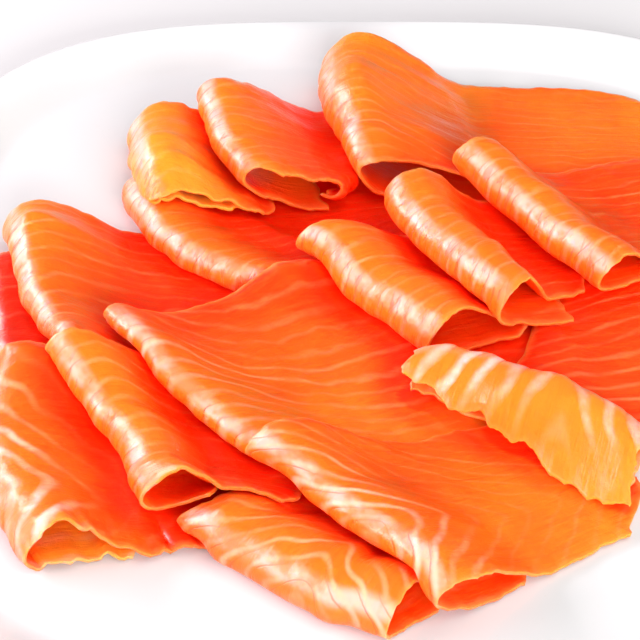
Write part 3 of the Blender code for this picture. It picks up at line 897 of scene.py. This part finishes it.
def flesh_tone(tree, at, fibre, cloud, patch):
    """red to golden flesh, clouded and streaked along its fibres, with painted shade: deep red in the hollows
    and a dark red on sheets that lie in shade
    """
    golden = stretched(tree, at["warmth"], 0.9, 1.8)
    # painted shade in deep red in the hollows, less on inner faces and folds, none on golden flesh
    open_face = plus(tree, times(tree, at["inner_face"], 0.30), times(tree, at["bend"], 0.95))
    deep = times(tree, at["hollow_shade"], reckon(tree, "SUBTRACT", 0.95, open_face, clamp=True),
                 minus(tree, 1.0, golden))
    return tinted(tree, blended(tree, at["warmth"], RED_FLESH, WARM_FLESH), (
        (stretched(tree, cloud, 0.40, 0.68, 0.0, 0.50), CLOUD_RED),
        (stretched(tree, patch, 0.45, 0.75, 0.0, 0.30), PATCH_ORANGE),
        (stretched(tree, fibre, 0.46, 0.66, 0.0, 0.30), FIBRE_LIGHT),
        (stretched(tree, fibre, 0.46, 0.30, 0.0, 0.35), FIBRE_DARK),
        (times(tree, at["bend"], 0.5), FOLD_ORANGE),
        (times(tree, golden, 0.8), GOLDEN_FLESH),
        (times(tree, at["warmth"], -0.85), SHADE_DARK_RED),
        (deep, HOLLOW_SHADE_RED)))


def fat_tone(tree, at, flank):
    """fat, paler round a fold, palest on its flank and where there is most of it"""
    pale = times(tree, at["bend"], stretched(tree, at["fat"], 0.6, 1.0))
    return tinted(tree, blended(tree, at["bend"], FINE_FAT, FOLD_FAT), (
        (reckon(tree, "MAXIMUM", flank, pale), PALE_FAT),
        (stretched(tree, at["fat"], 1.1, 1.6), WHITE_FAT)))


def salmon_flesh():
    """moist orange flesh: pale fat lines, painted shade in red in the hollows, a painted highlight strip on
    the folds, a sheen of oil
    """
    material, tree, skin = new_material("smoked_salmon")
    at = stored_numbers(tree)
    place = node(tree, "ShaderNodeTexCoord").outputs["Object"]
    fibre_place = joined(tree, times(tree, at["along"], FIBRE_ALONG), times(tree, at["across"], FIBRE_ACROSS),
                         times(tree, at["warmth"], 3.0))
    fibre = noise(tree, fibre_place, 1.0, 4.0, 0.6)
    cloud = noise(tree, place, CLOUD_SCALE, 3.0, 0.5)
    patch = noise(tree, place, PATCH_SCALE, 3.0, 0.6)
    grain = noise(tree, place, GRAIN_SCALE, 3.0, 0.6)
    wander = times(tree, minus(tree, noise(tree, place, WANDER_SCALE, 3.0, 0.5), 0.5), WANDER)
    line = plus(tree, at["fat_phase"], wander)
    # the outer flank of a fold is stretched most
    flank = times(tree, at["bend"], stretched(tree, at["across"], 14.0, 3.0))
    groove = muscle_groove(tree, line, flank, patch)
    ticks = shade_ticks(tree, at, flank)
    plenty = plus(tree, at["fat"], times(tree, flank, 0.4))
    # the fat lines fade in the painted shade of the hollows
    strength = times(tree, fat_band(tree, at, line, patch), stretched(tree, plenty, 0.0, 1.7, 0.28, 1.25),
                     minus(tree, 1.0, times(tree, at["hollow_shade"], 0.75)))
    tone = tinted(tree, flesh_tone(tree, at, fibre, cloud, patch), (
        # painted highlight: a pale pink strip along each fold's flank
        (times(tree, highlight_strip(tree, at, patch), 0.80), HIGHLIGHT_PINK),
        (strength, fat_tone(tree, at, flank)),
        # painted shade in the grooves of the flank
        (times(tree, groove, 0.5), GROOVE_SHADE),
        # painted shade in the short ticks on the flank
        (times(tree, ticks, 0.45), TICK_SHADE),
        # painted highlight and glow along the thin cut edges
        (times(tree, at["cut_edge"], 0.40), EDGE_HIGHLIGHT_ORANGE)))
    put(tree, skin.inputs["Base Color"], tone)
    put(tree, skin.inputs["Roughness"], stretched(tree, patch, 0.3, 0.7, 0.30, 0.42))
    skin.inputs["IOR"].default_value = 1.42
    skin.inputs["Subsurface Weight"].default_value = 1.0
    skin.inputs["Subsurface Radius"].default_value = (0.8, 0.18, 0.05)
    skin.inputs["Subsurface Scale"].default_value = 0.006
    skin.inputs["Coat Weight"].default_value = 0.22
    skin.inputs["Coat Roughness"].default_value = 0.20
    height = plus(tree, times(tree, fibre, 0.8), times(tree, patch, 0.6))
    height = plus(tree, height, times(tree, grain, 0.35))
    height = minus(tree, height, times(tree, groove, 0.4))
    height = minus(tree, height, times(tree, ticks, 0.5))
    relief(tree, skin, height, strength=0.7, distance=0.0009)
    return material


flesh_material = salmon_flesh()
salmon_pieces = []
for sizes in SLICES:
    middle, along, across, bend = lay(sizes, heights)
    normal = outward(middle)
    heap(heights, middle + normal * SLICE_THICKNESS / 2)
    heap(heights, middle - normal * SLICE_THICKNESS / 2)
    name = "salmon_" + sizes["node"]
    piece = close_sheet(name, sizes, middle, along, across, bend, flesh_material)
    salmon_pieces.append(piece)
    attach(piece, "root")
    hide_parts(sizes["node"])

SKY_REACH = 30
SKY_TURNS = 16
SHADE_START = 0.09
SHADE_RANGE = 0.30
COVER_START = 3.0
COVER_RANGE = 5.0


def shut_in(field):
    """how much of the sky each place of the pile can't see, from 0 to 1"""
    total = np.zeros_like(field)
    wide = np.pad(field, SKY_REACH, mode="edge")
    rows, columns = field.shape
    for k in range(SKY_TURNS):
        turn = 2 * math.pi * k / SKY_TURNS
        steepest = np.zeros_like(field)
        for step in range(1, SKY_REACH):
            i = int(round(step * math.cos(turn)))
            j = int(round(step * math.sin(turn)))
            there = wide[SKY_REACH + i:SKY_REACH + i + rows, SKY_REACH + j:SKY_REACH + j + columns]
            steepest = np.maximum(steepest, (there - field) / (FIELD_CELL * math.hypot(i, j)))
        total += steepest ** 2 / (1 + steepest ** 2)
    for _ in range(BLUR_ROUNDS):
        total = blur(total)
    return total / SKY_TURNS


# painted shade: a place turns red where the pile shuts it in from the sky, or where another layer covers it
sheltered = shut_in(heights)
for piece in salmon_pieces:
    mesh = piece.data
    spots = np.empty(len(mesh.vertices) * 3, dtype=np.float32)
    mesh.vertices.foreach_get("co", spots)
    x, y, z = (spots.reshape(-1, 3) / MM).T
    covered = smooth((height_at(heights, x, y) - z - COVER_START) / COVER_RANGE)
    shade = smooth((height_at(sheltered, x, y) - SHADE_START) / SHADE_RANGE)
    store(mesh, "hollow_shade", np.maximum(shade, covered))


# ---- The table, the light and the camera ---------------------------------------------------
# A pale matt table top. A long low light from the left puts the highlights on the folds, and
# two broad lights, above at the right and in front, fill the rest without showing in the gloss.

TABLE_SIZE = 6.0
TABLE_SHADE = (0.57, 0.57, 0.57, 1)
TABLE_LIGHT = (0.61, 0.61, 0.61, 1)
LIGHTS_AIM = (0, 0, 0.02)
WINDOW_COLOUR = (1.0, 0.90, 0.96)
LAMP_COLOUR = (1.0, 0.99, 0.98)
WORLD_STRENGTH = 0.15
CAMERA_LENS = 120.0
CAMERA_AIM = Vector((-0.020, -0.019, 0.030))
CAMERA_DISTANCE = 0.736
CAMERA_TILT = math.radians(45)


def table_finish():
    """matt and faintly clouded"""
    material, tree, skin = new_material("pale_table")
    place = node(tree, "ShaderNodeTexCoord").outputs["Object"]
    tone = clouded(tree, place, 3.0, 3.0, 0.5, TABLE_SHADE, TABLE_LIGHT)
    put(tree, skin.inputs["Base Color"], tone)
    skin.inputs["Roughness"].default_value = 0.6
    return material


half = TABLE_SIZE / 2
table_corners = [(-half, -half, 0), (half, -half, 0), (half, half, 0), (-half, half, 0)]
table_mesh = bpy.data.meshes.new("table_top")
table_mesh.from_pydata(table_corners, [], [(0, 1, 2, 3)])
table_mesh.materials.append(table_finish())
table_top = bpy.data.objects.new("table_top", table_mesh)
bpy.context.scene.collection.objects.link(table_top)


def soft_light(name, place, size, power, colour):
    """an oblong light that shines towards the middle of the platter"""
    light = bpy.data.lights.new(name, "AREA")
    light.shape = "RECTANGLE"
    light.size, light.size_y = size
    light.energy = power
    light.color = colour
    lamp = bpy.data.objects.new(name, light)
    lamp.location = place
    lamp.rotation_euler = (Vector(LIGHTS_AIM) - Vector(place)).to_track_quat("-Z", "Y").to_euler()
    bpy.context.scene.collection.objects.link(lamp)
    return lamp


soft_light("window", place=(-1.04, 0.18, 0.48), size=(1.20, 0.34), power=23.0, colour=WINDOW_COLOUR)
fill = soft_light("fill", place=(0.60, -0.35, 1.50), size=(2.0, 2.0), power=29.0, colour=LAMP_COLOUR)
fill.visible_glossy = False
front = soft_light("front", place=(0.50, -1.50, 0.60), size=(1.6, 0.8), power=47.0, colour=LAMP_COLOUR)
front.visible_glossy = False

world = bpy.data.worlds.new("studio")
world.use_nodes = True
world.node_tree.nodes["Background"].inputs["Color"].default_value = (1.0, 1.0, 1.0, 1)
world.node_tree.nodes["Background"].inputs["Strength"].default_value = WORLD_STRENGTH
bpy.context.scene.world = world
bpy.context.scene.view_settings.view_transform = "Standard"
bpy.context.scene.view_settings.look = "None"

camera_data = bpy.data.cameras.new("camera")
camera_data.lens = CAMERA_LENS
camera_data.sensor_width = 36.0
camera = bpy.data.objects.new("camera", camera_data)
back_and_up = Vector((0, -math.cos(CAMERA_TILT), math.sin(CAMERA_TILT)))
camera.location = CAMERA_AIM + CAMERA_DISTANCE * back_and_up
camera.rotation_euler = (CAMERA_AIM - camera.location).to_track_quat("-Z", "Y").to_euler()
bpy.context.scene.collection.objects.link(camera)
bpy.context.scene.camera = camera
